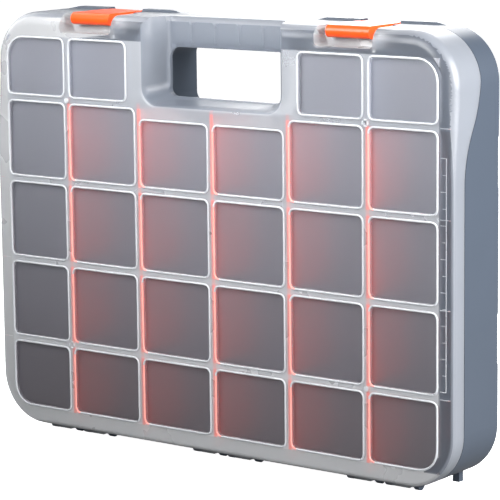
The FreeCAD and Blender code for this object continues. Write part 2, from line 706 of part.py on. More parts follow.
def make_tray():
    """Grey tray: skin behind the seam, floor panel, cell ring, handle tunnel, ears, feet and shoulders."""
    back = deep("dims.case_depth")
    through = (deep("0"), deep("dims.case_depth + dims.overrun"))
    block_form = outline("tray_form", HALF, BASE, TOP, "dims.corner_radius", "dims.corner_radius", (deep("0"), back))
    doc.recompute()
    rear = size(back) - size("dims.fit_gap")
    soft = doc.addObject("Part::Fillet", "tray_outside")
    soft.Base = block_form
    soft.Edges = [
        (number, size("dims.back_round"), size("dims.back_round"))
        for number, edge in enumerate(block_form.Shape.Edges, 1)
        if edge.BoundBox.YMin > rear
    ]
    inner = "dims.corner_radius - " + SKIN
    room = outline("tray_room", RING_HALF, RING_LOW, TOP + " - " + SKIN, inner, inner, through)
    skin = cut("tray_skin", cut("tray_ring", soft, room), seam_volume("tray_seam", "dims.seam_gap / 2"))
    floor_y = (deep("dims.floor_depth"), deep("dims.floor_depth + dims.floor_wall"))
    panel = outline("floor_panel", RING_HALF, RING_LOW, TOP + " - " + SKIN, inner, inner, floor_y)
    cells = (deep(CELL_FRONT), floor_y[0])
    outer = outline("cell_outside", RING_HALF, RING_LOW, RING_HIGH, inner, "dims.ring_top_radius", cells)
    thin = "%s - dims.ring_wall" % inner
    cell_top = "dims.ring_top_radius - dims.ring_wall"
    long_cells = (deep("0"), floor_y[0])
    hollow = outline("cell_inside", CELL_HALF, CELL_LOW, CELL_HIGH, thin, cell_top, long_cells)
    z = wall_z(1)
    roof = "%s + dims.overrun" % TOP
    bay = block("handle_bay", ("-" + NOTCH_EDGE, NOTCH_EDGE), long_cells, (z + " + dims.row_wall / 2", roof))
    edge = "(%s + dims.ring_wall)" % NOTCH_EDGE
    guard = block("handle_guard", ("-" + edge, edge), long_cells, (z + " - dims.row_wall / 2", roof))
    stock = common("cell_ring_stock", cut("cell_ring_form", outer, bay), rounded_shell_form("ring_limit", SKIN))
    stock = cut("cell_tongue", stock, seam_volume("tongue_seam", "-dims.tongue_reach"))
    ring = cut("cell_ring", stock, cut("cell_rooms", hollow, guard))
    tunnel_low = "(%s - dims.row_wall / 2 + dims.tunnel_wall)" % z
    tunnel_y = (deep("dims.grip_depth + dims.lid_wall + dims.cell_gap"), back)
    tunnel = handle_slot("tunnel", "dims.tunnel_wall", tunnel_y, tunnel_low, "dims.tunnel_spread")
    slot = handle_slot("tray_slot", "0", (deep("0"), through[1]), tunnel_low, "dims.tunnel_spread")
    inside = "(dims.hole_width / 2 + dims.tunnel_wall)"
    rear_plate = (deep("dims.case_depth - dims.floor_wall"), back)
    grip = block("grip_back", ("-" + inside, inside), rear_plate, (HOLE_HIGH, "%s - dims.lid_wall / 2" % TOP))
    added = [skin, panel, ring, tunnel, grip]
    removed = [slot, hinge_tools("room")]
    for name, sign in SIDES:
        pads, holes = latch_mount(name, sign)
        added += pads
        removed += holes
        middle = "%d * %s" % (sign, FOOT_X)
        x = ("%s - dims.foot_width / 2" % middle, "%s + dims.foot_width / 2" % middle)
        y = (deep("dims.foot_depth"), deep("dims.foot_depth + dims.foot_length"))
        added.append(block("foot_" + name, x, y, ("0", "%s + dims.lid_wall / 2" % BASE)))
        for level in ("upper", "lower"):
            removed.append(rim_notch("notch_%s_%s" % (level, name), sign, "dims.%s_notch_share" % level))
    low = "%s - dims.row_wall / 2" % CELL_LOW
    blocks, slots = guide_blocks("floor_guide", low, [(n, True, False) for n in range(1, COLUMNS)])
    upper, upper_slots = guide_blocks("bay_guide", z, [(n, False, True) for n in range(2, COLUMNS - 1)])
    guides = cut("tray_guides", fuse("guide_stock", blocks + upper), fuse("guide_slots", slots + upper_slots))
    body = cut("tray_body", fuse("tray_solid", added), fuse("tray_rooms", removed))
    ears = cut("ears", hinge_tools("ear"), hinge_tools("bore"))
    return fuse("tray", [body, ears, guides])


def make_divider(row, line):
    """Removable plate between two row walls, with a thick round front edge."""
    name = "divider_r%d_c%d" % (row, line)
    low = "%s + dims.row_wall / 2" % wall_z(row) if row < ROWS else CELL_LOW
    low += " + dims.divider_play"
    high = "%s - dims.row_wall / 2 - dims.divider_play" % wall_z(row - 1)
    x = rib_x(line)
    bead_y = deep(NEST_FRONT + " + dims.divider_bead / 2")
    plate = block(name + "_plate", (x + " - dims.divider_wall / 2", x + " + dims.divider_wall / 2"),
                  (bead_y, deep("dims.floor_depth")), (low, high))
    bead = doc.addObject("Part::Cylinder", name + "_bead")
    bead.setExpression("Radius", "dims.divider_bead / 2")
    bead.setExpression("Height", "(%s) - (%s)" % (high, low))
    bead.setExpression("Placement.Base.x", x)
    bead.setExpression("Placement.Base.y", bead_y)
    bead.setExpression("Placement.Base.z", low)
    return fuse(name, [plate, bead])


def make_latch(side, sign):
    """Orange latch: rounded bar with a hook behind it, strap, narrow neck, and barrel with pins."""
    middle = "%d * %s" % (sign, LATCH_X)

    def span(half):
        return ("%s - %s" % (middle, half), "%s + %s" % (middle, half))

    wide, neck = span("dims.latch_width / 2"), span("dims.latch_neck_width / 2")
    roof = "%s + dims.latch_rise" % TOP
    bar_y = deep("dims.recess_depth - dims.hook_gap - dims.bar_radius")
    strap = (roof + " - dims.strap_wall", roof)
    hook = (roof + " - 2 * dims.bar_radius", roof)
    neck_start = deep("dims.neck_depth")
    pivot = deep("dims.pivot_depth")
    name = "latch_" + side
    pins = span("(dims.latch_neck_width / 2 + dims.latch_pin_length)")
    return fuse(name, [
        rod(name + "_bar", wide, bar_y, roof + " - dims.bar_radius", "dims.bar_radius"),
        block(name + "_hook", wide, (bar_y, deep("dims.recess_depth - dims.hook_gap")), hook),
        block(name + "_strap", wide, (bar_y, neck_start), strap),
        block(name + "_neck", neck, (neck_start, pivot), strap),
        rod(name + "_barrel", neck, pivot, PIVOT_Z, "dims.latch_barrel_radius"),
        rod(name + "_pins", pins, pivot, PIVOT_Z, "dims.latch_pin_radius"),
    ])


nodes = [make_tray(), make_lid()]
inner_half = "(%s)" % CELL_HALF
bay_half = "(%s + dims.ring_wall)" % NOTCH_EDGE
nodes.append(row_wall("row_wall_1_left", 1, ("-" + inner_half, "-" + bay_half), [1]))
nodes.append(row_wall("row_wall_1_right", 1, (bay_half, inner_half), [COLUMNS - 1]))
for wall_line in range(2, ROWS):
    label = "row_wall_%d" % wall_line
    nodes.append(row_wall(label, wall_line, ("-" + inner_half, inner_half), range(1, COLUMNS)))
for wall_side, column_line in (("left", 1), ("right", COLUMNS - 1)):
    place = rib_x(column_line)
    nodes.append(block(
        "top_cell_wall_" + wall_side,
        (place + " - dims.row_wall / 2", place + " + dims.row_wall / 2"),
        (deep(CELL_FRONT), deep("dims.floor_depth")),
        (wall_z(1) + " + dims.row_wall / 2", CELL_HIGH),
    ))
for divider_row in range(2, ROWS + 1):
    for column_line in range(1, COLUMNS):
        nodes.append(make_divider(divider_row, column_line))
for latch_side, latch_sign in SIDES:
    nodes.append(make_latch(latch_side, latch_sign))

doc.recompute()
for item in doc.Objects:
    if "Invalid" in item.State or "Error" in item.State:
        raise RuntimeError("%s failed: %s" % (item.Label, item.State))
for node in nodes:
    if node.Shape.isNull() or not node.Shape.isValid() or len(node.Shape.Solids) != 1:
        raise RuntimeError("%s is not one sound solid" % node.Label)
os.makedirs("parts", exist_ok=True)
for node in nodes:
    node.Shape.exportStep("parts/%s.step" % node.Label)
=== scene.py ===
"""Small parts organizer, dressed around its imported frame.

A slate grey tray of cells under a frosted lid with clear windows, orange dividers
and two orange latches. The case stands on its hinge edge in a plain studio.
"""
import logging
import math
from dataclasses import dataclass
from enum import Enum, IntEnum
from functools import cache

import bmesh
import bpy
from mathutils import Euler, Matrix, Vector


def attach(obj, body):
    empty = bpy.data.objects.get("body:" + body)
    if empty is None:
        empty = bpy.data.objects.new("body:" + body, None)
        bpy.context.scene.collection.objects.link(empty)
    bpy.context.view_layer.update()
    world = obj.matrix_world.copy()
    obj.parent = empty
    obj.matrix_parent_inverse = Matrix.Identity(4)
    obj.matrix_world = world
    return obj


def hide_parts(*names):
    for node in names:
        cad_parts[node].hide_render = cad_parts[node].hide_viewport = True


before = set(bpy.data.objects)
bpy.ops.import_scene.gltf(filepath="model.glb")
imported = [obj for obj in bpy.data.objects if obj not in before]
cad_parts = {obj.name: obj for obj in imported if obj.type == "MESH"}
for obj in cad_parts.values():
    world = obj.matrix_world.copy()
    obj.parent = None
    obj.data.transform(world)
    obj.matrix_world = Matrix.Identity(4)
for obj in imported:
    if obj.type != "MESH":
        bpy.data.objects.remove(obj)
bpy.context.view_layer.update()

LOG = logging.getLogger("organizer")
MM = 0.001
# Corners of a frame node that lie closer than this are one.
MERGE = 0.002 * MM
AXIS_X = Vector((1.0, 0.0, 0.0))
AXIS_Y = Vector((0.0, 1.0, 0.0))
AXIS_Z = Vector((0.0, 0.0, 1.0))
# Colour sockets of the Mix node, which has a set of sockets for each data type.
MIX_A, MIX_B, MIX_RESULT = 6, 7, 2


class Body(Enum):
    """Moving bodies of the frame that carry new pieces."""

    LID = "lid"
    LATCH_LEFT = "latch_left"
    LATCH_RIGHT = "latch_right"


class Slot(Enum):
    """Names of material slots in the record."""

    FROSTED = "lid_frosted"
    ORANGE = "orange"


class LidZone(IntEnum):
    """Zones of the lid's shell, in the order of its materials."""

    PLATE = 0
    PANE = 1
    RAISED = 2
    SKIRT = 3
    MARGIN = 4
    SCOOP = 5
    EDGE = 6


def linear(code: str) -> tuple[float, float, float, float]:
    """Turn an sRGB hex colour into linear values.

    Args:
        code: Six hex digits with a leading hash.

    Returns:
        Linear red, green, blue and an alpha of one.
    """
    values = []
    for start in (1, 3, 5):
        share = int(code[start:start + 2], 16) / 255
        values.append(share / 12.92 if share <= 0.04045 else ((share + 0.055) / 1.055) ** 2.4)
    return (values[0], values[1], values[2], 1.0)


def add_node(
    tree: bpy.types.NodeTree,
    kind: str,
    values: dict[str | int, object] | None = None,
    links: dict[str | int, bpy.types.NodeSocket] | None = None,
    **settings: object,
) -> bpy.types.Node:
    """Add a shader node with its settings, values and links.

    Args:
        tree: Node tree that gets the node.
        kind: Blender's name of the node type.
        values: Constants by input name or number.
        links: Output sockets by input name or number.
        settings: Properties of the node itself.

    Returns:
        The new node.
    """
    node = tree.nodes.new(kind)
    for key, value in settings.items():
        setattr(node, key, value)
    for key, value in (values or {}).items():
        node.inputs[key].default_value = value
    for key, socket in (links or {}).items():
        tree.links.new(socket, node.inputs[key])
    return node


@dataclass(frozen=True)
class Window:
    """One window's place in the grid, and its bead lines in mm."""

    row: int
    column: int
    left: float
    right: float
    low: float
    high: float

    @property
    def over_divider(self) -> bool:
        """True where the left bead line runs over an orange divider."""
        return self.row > 1 and self.column > 1

    def holds(self, place: Vector, rim: float) -> bool:
        """Tell if a place, in mm, lies inside the bead lines or on a rim round them."""
        across = self.left - rim < place.x < self.right + rim
        return across and self.low - rim < place.z < self.high + rim


@dataclass(frozen=True)
class Layout:
    """Places that the sub-assemblies share, in mm, as on the frame.

    Attributes:
        width: Width of the case.
        height: Height of the case from its bottom edge to its top edge.
        depth: Depth of the case behind the lid's rib plane.
        foot: Height of the bottom edge above the floor.
        bead_height: How far the beads stand in front of the rib plane.
        columns: Cells across.
        rows: Cells up.
        column_margin: What the columns leave at each side.
        row_low_margin: What the rows leave at the bottom.
        row_high_margin: What the rows leave at the top.
        field_margin: From a side to the outer bead lines.
        field_bottom: From the bottom edge to the lowest bead lines.
        field_top_drop: From the top edge to the highest bead lines.
        rib_width: Between the bead lines of neighbouring windows.
        top_cell_edge: From the middle to the top row's inner bead lines.
        handle_columns: Columns that have no window in the top row.
        handle_window_drop: How much lower the windows under the scoop end.
        window_recess: Depth of the panes behind the rib plane.
        window_wall: Thickness of the panes.
        stripe_shift: How far right of a rib's middle its painted pink band of divider glow lies.
        stripe_half: Half width of that band.
        stripe_share: Strength of the band in its middle.
        crossing_share: What is left of the band where a row's rib crosses it.
    """

    width: float = 457.0
    height: float = 350.0
    depth: float = 66.0
    foot: float = 6.7
    bead_height: float = 0.9
    columns: int = 6
    rows: int = 5
    column_margin: float = 4.4
    row_low_margin: float = 3.64
    row_high_margin: float = 3.06
    field_margin: float = 14.4
    field_bottom: float = 14.9
    field_top_drop: float = 20.7
    rib_width: float = 5.4
    top_cell_edge: float = 86.0
    handle_columns: tuple[int, int] = (3, 4)
    handle_window_drop: float = 8.3
    window_recess: float = 3.0
    window_wall: float = 1.4
    stripe_shift: float = 1.5
    stripe_half: float = 1.6
    stripe_share: float = 0.9
    crossing_share: float = 0.4

    @property
    def top(self) -> float:
        """Height of the case's top edge."""
        return self.foot + self.height

    @property
    def pane_front(self) -> float:
        """Y of the panes' front faces."""
        return self.deep(self.window_recess)

    @property
    def pane_back(self) -> float:
        """Y of the panes' back faces."""
        return self.deep(self.window_recess + self.window_wall)

    def deep(self, depth: float) -> float:
        """Y of a depth behind the lid's rib plane."""
        return (self.bead_height - self.depth) / 2 + depth

    def rib_x(self, line: int) -> float:
        """X of the rib after a column."""
        pitch = (self.width - 2 * self.column_margin) / self.columns
        return (line - self.columns // 2) * pitch

    def rib_z(self, line: int) -> float:
        """Z of the rib under a row, counted from the top."""
        pitch = (self.height - self.row_low_margin - self.row_high_margin) / self.rows
        return self.foot + self.row_low_margin + (self.rows - line) * pitch

    @cache
    def windows(self) -> tuple[Window, ...]:
        """List the windows.

        Returns:
            The windows, row by row from the top left.
        """
        edge = self.rib_width / 2
        half = self.width / 2 - self.field_margin
        first, last = self.handle_columns
        found = []
        for row in range(1, self.rows + 1):
            for column in range(1, self.columns + 1):
                middle = column in self.handle_columns
                if row == 1 and middle:
                    continue
                left = self.rib_x(column - 1) + edge if column > 1 else -half
                right = self.rib_x(column) - edge if column < self.columns else half
                low = self.rib_z(row) + edge if row < self.rows else self.foot + self.field_bottom
                high = self.rib_z(row - 1) - edge if row > 1 else self.top - self.field_top_drop
                if row == 1 and column == first - 1:
                    right = -self.top_cell_edge
                if row == 1 and column == last + 1:
                    left = self.top_cell_edge
                if row == 2 and middle:
                    high -= self.handle_window_drop
                found.append(Window(row, column, left, right, low, high))
        return tuple(found)


LAYOUT = Layout()


@dataclass(frozen=True)
class MouldedFinish:
    """Injection moulded plastic, with the tone and grit that its mould leaves.

    Attributes:
        name: Material name.
        colour: Main sRGB colour.
        shade: Second tone of the slow variation.
        roughness: Middle of the roughness range.
        spread: Half of the roughness range.
        tone_mm: Size of the slow patches of tone.
        grain_mm: Spacing of the mould's grit, drawn coarser than the real grit of about
            0.1 mm so that it shows.
        relief_mm: Height of the grit.
        alpha: Share of light that doesn't pass straight through one surface.
        pass_share: Share of the rest that passes and is scattered by the surface.
        light_share: Share of light that reaches what lies behind the surface.
        ior: Refractive index.
        glow: Share of light that scatters inside.
        glow_mm: Reach of that scatter.
        coat: Weight of a clear gloss on top.
        coat_rough: Roughness of that gloss.
        low_colour: Colour of the painted light and shade toward the foot of the case, if any.
        stripe: Painted pink of the dividers glowing through the ribs, if any.
    """

    name: str
    colour: str
    shade: str
    roughness: float
    spread: float
    tone_mm: float
    grain_mm: float
    relief_mm: float
    alpha: float = 1.0
    pass_share: float = 0.0
    light_share: float = 0.0
    ior: float = 1.49
    glow: float = 0.0
    glow_mm: float = 2.0
    coat: float = 0.0
    coat_rough: float = 0.08
    low_colour: str = ""
    stripe: str = ""

    @cache
    def material(self) -> bpy.types.Material:
        """Build the node material, once for each finish.

        Returns:
            A material that reads Object coordinates only.
        """
        made = bpy.data.materials.new(self.name)
        made.use_nodes = True
        tree = made.node_tree
        tree.nodes.clear()
        place = add_node(tree, "ShaderNodeTexCoord").outputs["Object"]
        tone = add_node(
            tree, "ShaderNodeTexNoise",
            values={"Scale": 1 / (self.tone_mm * MM), "Detail": 3.0, "Roughness": 0.5},
            links={"Vector": place},
        )
        colour = add_node(
            tree, "ShaderNodeMix", data_type="RGBA",
            values={MIX_A: linear(self.colour), MIX_B: linear(self.shade)},
            links={0: tone.outputs["Fac"]},
        )
        if self.low_colour:
            colour = self.faded_down(tree, place, colour)
        if self.stripe:
            colour = self.over_dividers(tree, place, colour)
        grain = add_node(
            tree, "ShaderNodeTexNoise",
            values={"Scale": 1 / (self.grain_mm * MM), "Detail": 2.0, "Roughness": 0.6},
            links={"Vector": place},
        )
        rough = add_node(
            tree, "ShaderNodeMapRange",
            values={"To Min": self.roughness - self.spread, "To Max": self.roughness + self.spread},
            links={"Value": tone.outputs["Fac"]},
        )
        bump = add_node(
            tree, "ShaderNodeBump",
            values={"Strength": 0.5, "Distance": self.relief_mm * MM},
            links={"Height": grain.outputs["Fac"]},
        )
        shader = add_node(
            tree, "ShaderNodeBsdfPrincipled",
            values={
                "IOR": self.ior, "Alpha": self.alpha, "Subsurface Weight": self.glow,
                "Subsurface Radius": (1.0, 0.45, 0.2), "Subsurface Scale": self.glow_mm * MM,
                "Coat Weight": self.coat, "Coat Roughness": self.coat_rough,
                "Transmission Weight": self.pass_share,
            },
            links={
                "Base Color": colour.outputs[MIX_RESULT],
                "Roughness": rough.outputs[0],
                "Normal": bump.outputs[0],
            },
        )
        if self.light_share:
            shader = self.lit_through(tree, shader)
        add_node(tree, "ShaderNodeOutputMaterial", links={"Surface": shader.outputs[0]})
        return made

    def faded_down(
        self, tree: bpy.types.NodeTree, place: bpy.types.NodeSocket, colour: bpy.types.Node
    ) -> bpy.types.Node:
        """Paint light and shade into the colour, turning it to its low tone toward the foot of the
        case.

        Args:
            tree: Node tree of the material.
            place: Object coordinates.
            colour: Node that mixes the plain colour.

        Returns:
            The node that mixes in the painted light and shade.
        """
        axes = add_node(tree, "ShaderNodeSeparateXYZ", links={0: place})
        fade = add_node(
            tree, "ShaderNodeMapRange",
            values={"From Min": LAYOUT.rib_z(1) * MM, "From Max": LAYOUT.foot * MM},
            links={"Value": axes.outputs["Z"]},
        )
        return add_node(
            tree, "ShaderNodeMix", data_type="RGBA",
            values={MIX_B: linear(self.low_colour)},
            links={0: fade.outputs[0], MIX_A: colour.outputs[MIX_RESULT]},
        )

    def over_dividers(
        self, tree: bpy.types.NodeTree, place: bpy.types.NodeSocket, colour: bpy.types.Node
    ) -> bpy.types.Node:
        """Paint the dividers' glow into the ribs where their front edges lie close behind them.

        Args:
            tree: Node tree of the material.
            place: Object coordinates.
            colour: Node that mixes the plain colour.

        Returns:
            The node that mixes in the painted glow.
        """
        column = (LAYOUT.rib_x(1) - LAYOUT.rib_x(0)) * MM
        row = (LAYOUT.rib_z(0) - LAYOUT.rib_z(1)) * MM
        moved = add_node(
            tree, "ShaderNodeVectorMath", operation="SUBTRACT", links={0: place},
            values={1: Vector((LAYOUT.stripe_shift, 0.0, LAYOUT.rib_z(LAYOUT.rows))) * MM},
        )
        axes = add_node(tree, "ShaderNodeSeparateXYZ", links={0: moved.outputs[0]})
        across, up = axes.outputs["X"], axes.outputs["Z"]
        beside = add_node(
            tree, "ShaderNodeMath", operation="PINGPONG", values={1: column / 2}, links={0: across}
        )
        above = add_node(
            tree, "ShaderNodeMath", operation="PINGPONG", values={1: row / 2}, links={0: up}
        )
        near = LAYOUT.stripe_half * MM
        top = (LAYOUT.rows - 1) * row
        masks = [
            add_node(
                tree, "ShaderNodeMapRange", interpolation_type="SMOOTHSTEP", links={"Value": value},
                values={"From Min": start, "From Max": end, "To Min": low, "To Max": high},
            ).outputs[0]
            for value, start, end, low, high in (
                (beside.outputs[0], near / 2, 3 * near / 2, LAYOUT.stripe_share, 0.0),
                (above.outputs[0], near, 2 * near, LAYOUT.crossing_share, 1.0),
                (up, top, top + 2 * near, 1.0, 0.0),
            )
        ]
        both = add_node(
            tree, "ShaderNodeMath", operation="MULTIPLY", links={0: masks[0], 1: masks[1]}
        )
        show_through_share = add_node(
            tree, "ShaderNodeMath", operation="MULTIPLY", links={0: both.outputs[0], 1: masks[2]}
        )
        return add_node(
            tree, "ShaderNodeMix", data_type="RGBA",
            values={MIX_B: linear(self.stripe)},
            links={0: show_through_share.outputs[0], MIX_A: colour.outputs[MIX_RESULT]},
        )

    def lit_through(self, tree: bpy.types.NodeTree, shader: bpy.types.Node) -> bpy.types.Node:
        """Let light reach what lies behind the plastic, while sight of it stays blurred.

        Args:
            tree: Node tree of the material.
            shader: Surface as it is seen.

        Returns:
            The mixed surface.
        """
        path = add_node(tree, "ShaderNodeLightPath")
        lit = add_node(
            tree, "ShaderNodeMath", operation="MAXIMUM",
            links={0: path.outputs["Is Shadow Ray"], 1: path.outputs["Is Diffuse Ray"]},
        )
        share = add_node(
            tree, "ShaderNodeMath", operation="MULTIPLY",
            values={1: self.light_share}, links={0: lit.outputs[0]},
        )
        clear = add_node(tree, "ShaderNodeBsdfTransparent")
        return add_node(
            tree, "ShaderNodeMixShader",
            links={0: share.outputs[0], 1: shader.outputs[0], 2: clear.outputs[0]},
        )


# Pigmented polypropylene, satin mould: a soft grey-blue sheen with fine grit.
SLATE = MouldedFinish(
    "slate_polypropylene", "#414955", "#3B434E",
    roughness=0.4, spread=0.05, tone_mm=70, grain_mm=0.9, relief_mm=0.03,
)
# The same plastic on the walls between the rows of cells, paler and duller.
CELL_SLATE = MouldedFinish(
    "cell_slate_polypropylene", "#4A525E", "#424A56",
    roughness=0.48, spread=0.05, tone_mm=60, grain_mm=0.9, relief_mm=0.02,
)
# Natural polypropylene off a blasted mould: milky, so what lies behind it is blurred.
# Painted light makes it paler toward the foot, and the dividers' orange glowing through it is
# painted as pink bands in front of them.
FROSTED = MouldedFinish(
    "frosted_polypropylene", "#B6B9BF", "#AEB2B9",
    roughness=0.28, spread=0.04, tone_mm=45, grain_mm=0.7, relief_mm=0.02,
    alpha=0.66, pass_share=0.4, light_share=0.9, low_colour="#DDDFE2", stripe="#F79A92",
)
# The same plastic on the left and the bottom margin and in the latch recesses, paler and denser:
# painted light, a lit copy of the plate.
EDGE = MouldedFinish(
    "lit_edge_polypropylene", "#B2B3B5", "#AAACAF",
    roughness=0.28, spread=0.04, tone_mm=45, grain_mm=0.7, relief_mm=0.02,
    alpha=0.85, pass_share=0.2, light_share=0.9,
)
# The same plastic on the top and the right margin, darker: painted shade of the dark gap that lies
# behind the plate.
MARGIN = MouldedFinish(
    "shaded_margin_polypropylene", "#848B97", "#7C8490",
    roughness=0.32, spread=0.04, tone_mm=45, grain_mm=0.7, relief_mm=0.02,
    alpha=0.46, pass_share=0.62, light_share=0.9,
)
# The same plastic in the scoop, darker: painted shade of the tray's dark tunnel that backs it
# closely.
SCOOP = MouldedFinish(
    "shaded_scoop_polypropylene", "#868D98", "#7E8591",
    roughness=0.3, spread=0.04, tone_mm=45, grain_mm=0.7, relief_mm=0.02,
    alpha=0.66, pass_share=0.4, light_share=0.8,
)
# The same plastic in the skirt, where the wall is seen edge on and reads denser; its darker
# colour is painted shade.
MILKY_SHADED = MouldedFinish(
    "milky_shaded_polypropylene", "#92969E", "#8A8F97",
    roughness=0.36, spread=0.05, tone_mm=45, grain_mm=0.7, relief_mm=0.02,
    alpha=0.8, pass_share=0.4, light_share=0.6,
)
# The same plastic in the panes: thin, so it passes most light but blurs what lies deep, with a
# gloss on top and slow waves in place of grit. Its colour is painted darker toward the foot:
# painted shade for the dark ground that the panes reflect there.
CLEAR = MouldedFinish(
    "clear_window", "#CFD1DC", "#C7CAD6",
    roughness=0.36, spread=0.02, tone_mm=60, grain_mm=2.5, relief_mm=0.01,
    pass_share=0.85, light_share=0.97, coat=0.35, coat_rough=0.05, low_colour="#9A949B",
)
# Beads are thick, so nothing shows through them, and they catch light from all sides.
BEAD = MouldedFinish(
    "frosted_bead", "#BEC1C5", "#B6BABF",
    roughness=0.3, spread=0.04, tone_mm=30, grain_mm=0.7, relief_mm=0.01,
)
# Where a bead lies right over a divider, the orange shining through it is painted in as pink.
PINK_BEAD = MouldedFinish(
    "frosted_bead_over_divider", "#F6A79F", "#F09A90",
    roughness=0.3, spread=0.04, tone_mm=30, grain_mm=0.7, relief_mm=0.01,
)
# Orange polypropylene, thin enough to pass some light.
DIVIDER_ORANGE = MouldedFinish(
    "divider_orange", "#FF4A1C", "#F83C10",
    roughness=0.4, spread=0.05, tone_mm=40, grain_mm=0.8, relief_mm=0.02, glow=0.25, glow_mm=4.0,
)
# Orange latch plastic, glossier than the dividers.
LATCH_ORANGE = MouldedFinish(
    "latch_orange", "#F9541A", "#F04A12",
    roughness=0.3, spread=0.04, tone_mm=25, grain_mm=0.7, relief_mm=0.015,
)
# Finishes of the lid's shell, in the order of LidZone.
LID_FINISHES = (FROSTED, CLEAR, BEAD, MILKY_SHADED, MARGIN, SCOOP, EDGE)


def new_piece(
    name: str, mesh: bmesh.types.BMesh, finishes: list[bpy.types.Material]
) -> bpy.types.Object:
    """Turn a bmesh into a piece at the origin.

    Args:
        name: Name of the piece.
        mesh: Its geometry, which is freed.
        finishes: Materials in slot order.

    Returns:
        The linked object.
    """
    data = bpy.data.meshes.new(name)
    mesh.to_mesh(data)
    mesh.free()
    for finish in finishes:
        data.materials.append(finish)
    piece = bpy.data.objects.new(name, data)
    bpy.context.scene.collection.objects.link(piece)
    return piece


def smooth(piece: bpy.types.Object, degrees: float = 30.0) -> None:
    """Shade a piece smooth, with edges sharper than an angle kept crisp."""
    piece.data.shade_smooth()
    piece.data.set_sharp_from_angle(angle=math.radians(degrees))


def join_body(piece: bpy.types.Object, body: Body) -> None:
    """Let a piece ride on a body and report it.

    Args:
        piece: Finished piece.
        body: Body that carries it.
    """
    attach(piece, body.value)
    LOG.info("%s rides on %s", piece.name, body.value)


def dress(node: bpy.types.Object, finish: bpy.types.Material) -> None:
    """Give one frame node its finish and report it.

    Args:
        node: Node of the frame.
        finish: Material for all its slots.
    """
    for holder in node.material_slots:
        holder.material = finish
    LOG.info("%s wears %s", node.name, finish.name)


def merged_copy(node: str) -> bmesh.types.BMesh:
    """Copy a frame node's mesh and merge its loose triangles.

    Args:
        node: Name of the node.

    Returns:
        A closed bmesh.
    """
    mesh = bmesh.new()
    mesh.from_mesh(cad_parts[node].data)
    bmesh.ops.remove_doubles(mesh, verts=mesh.verts, dist=MERGE)
    return mesh


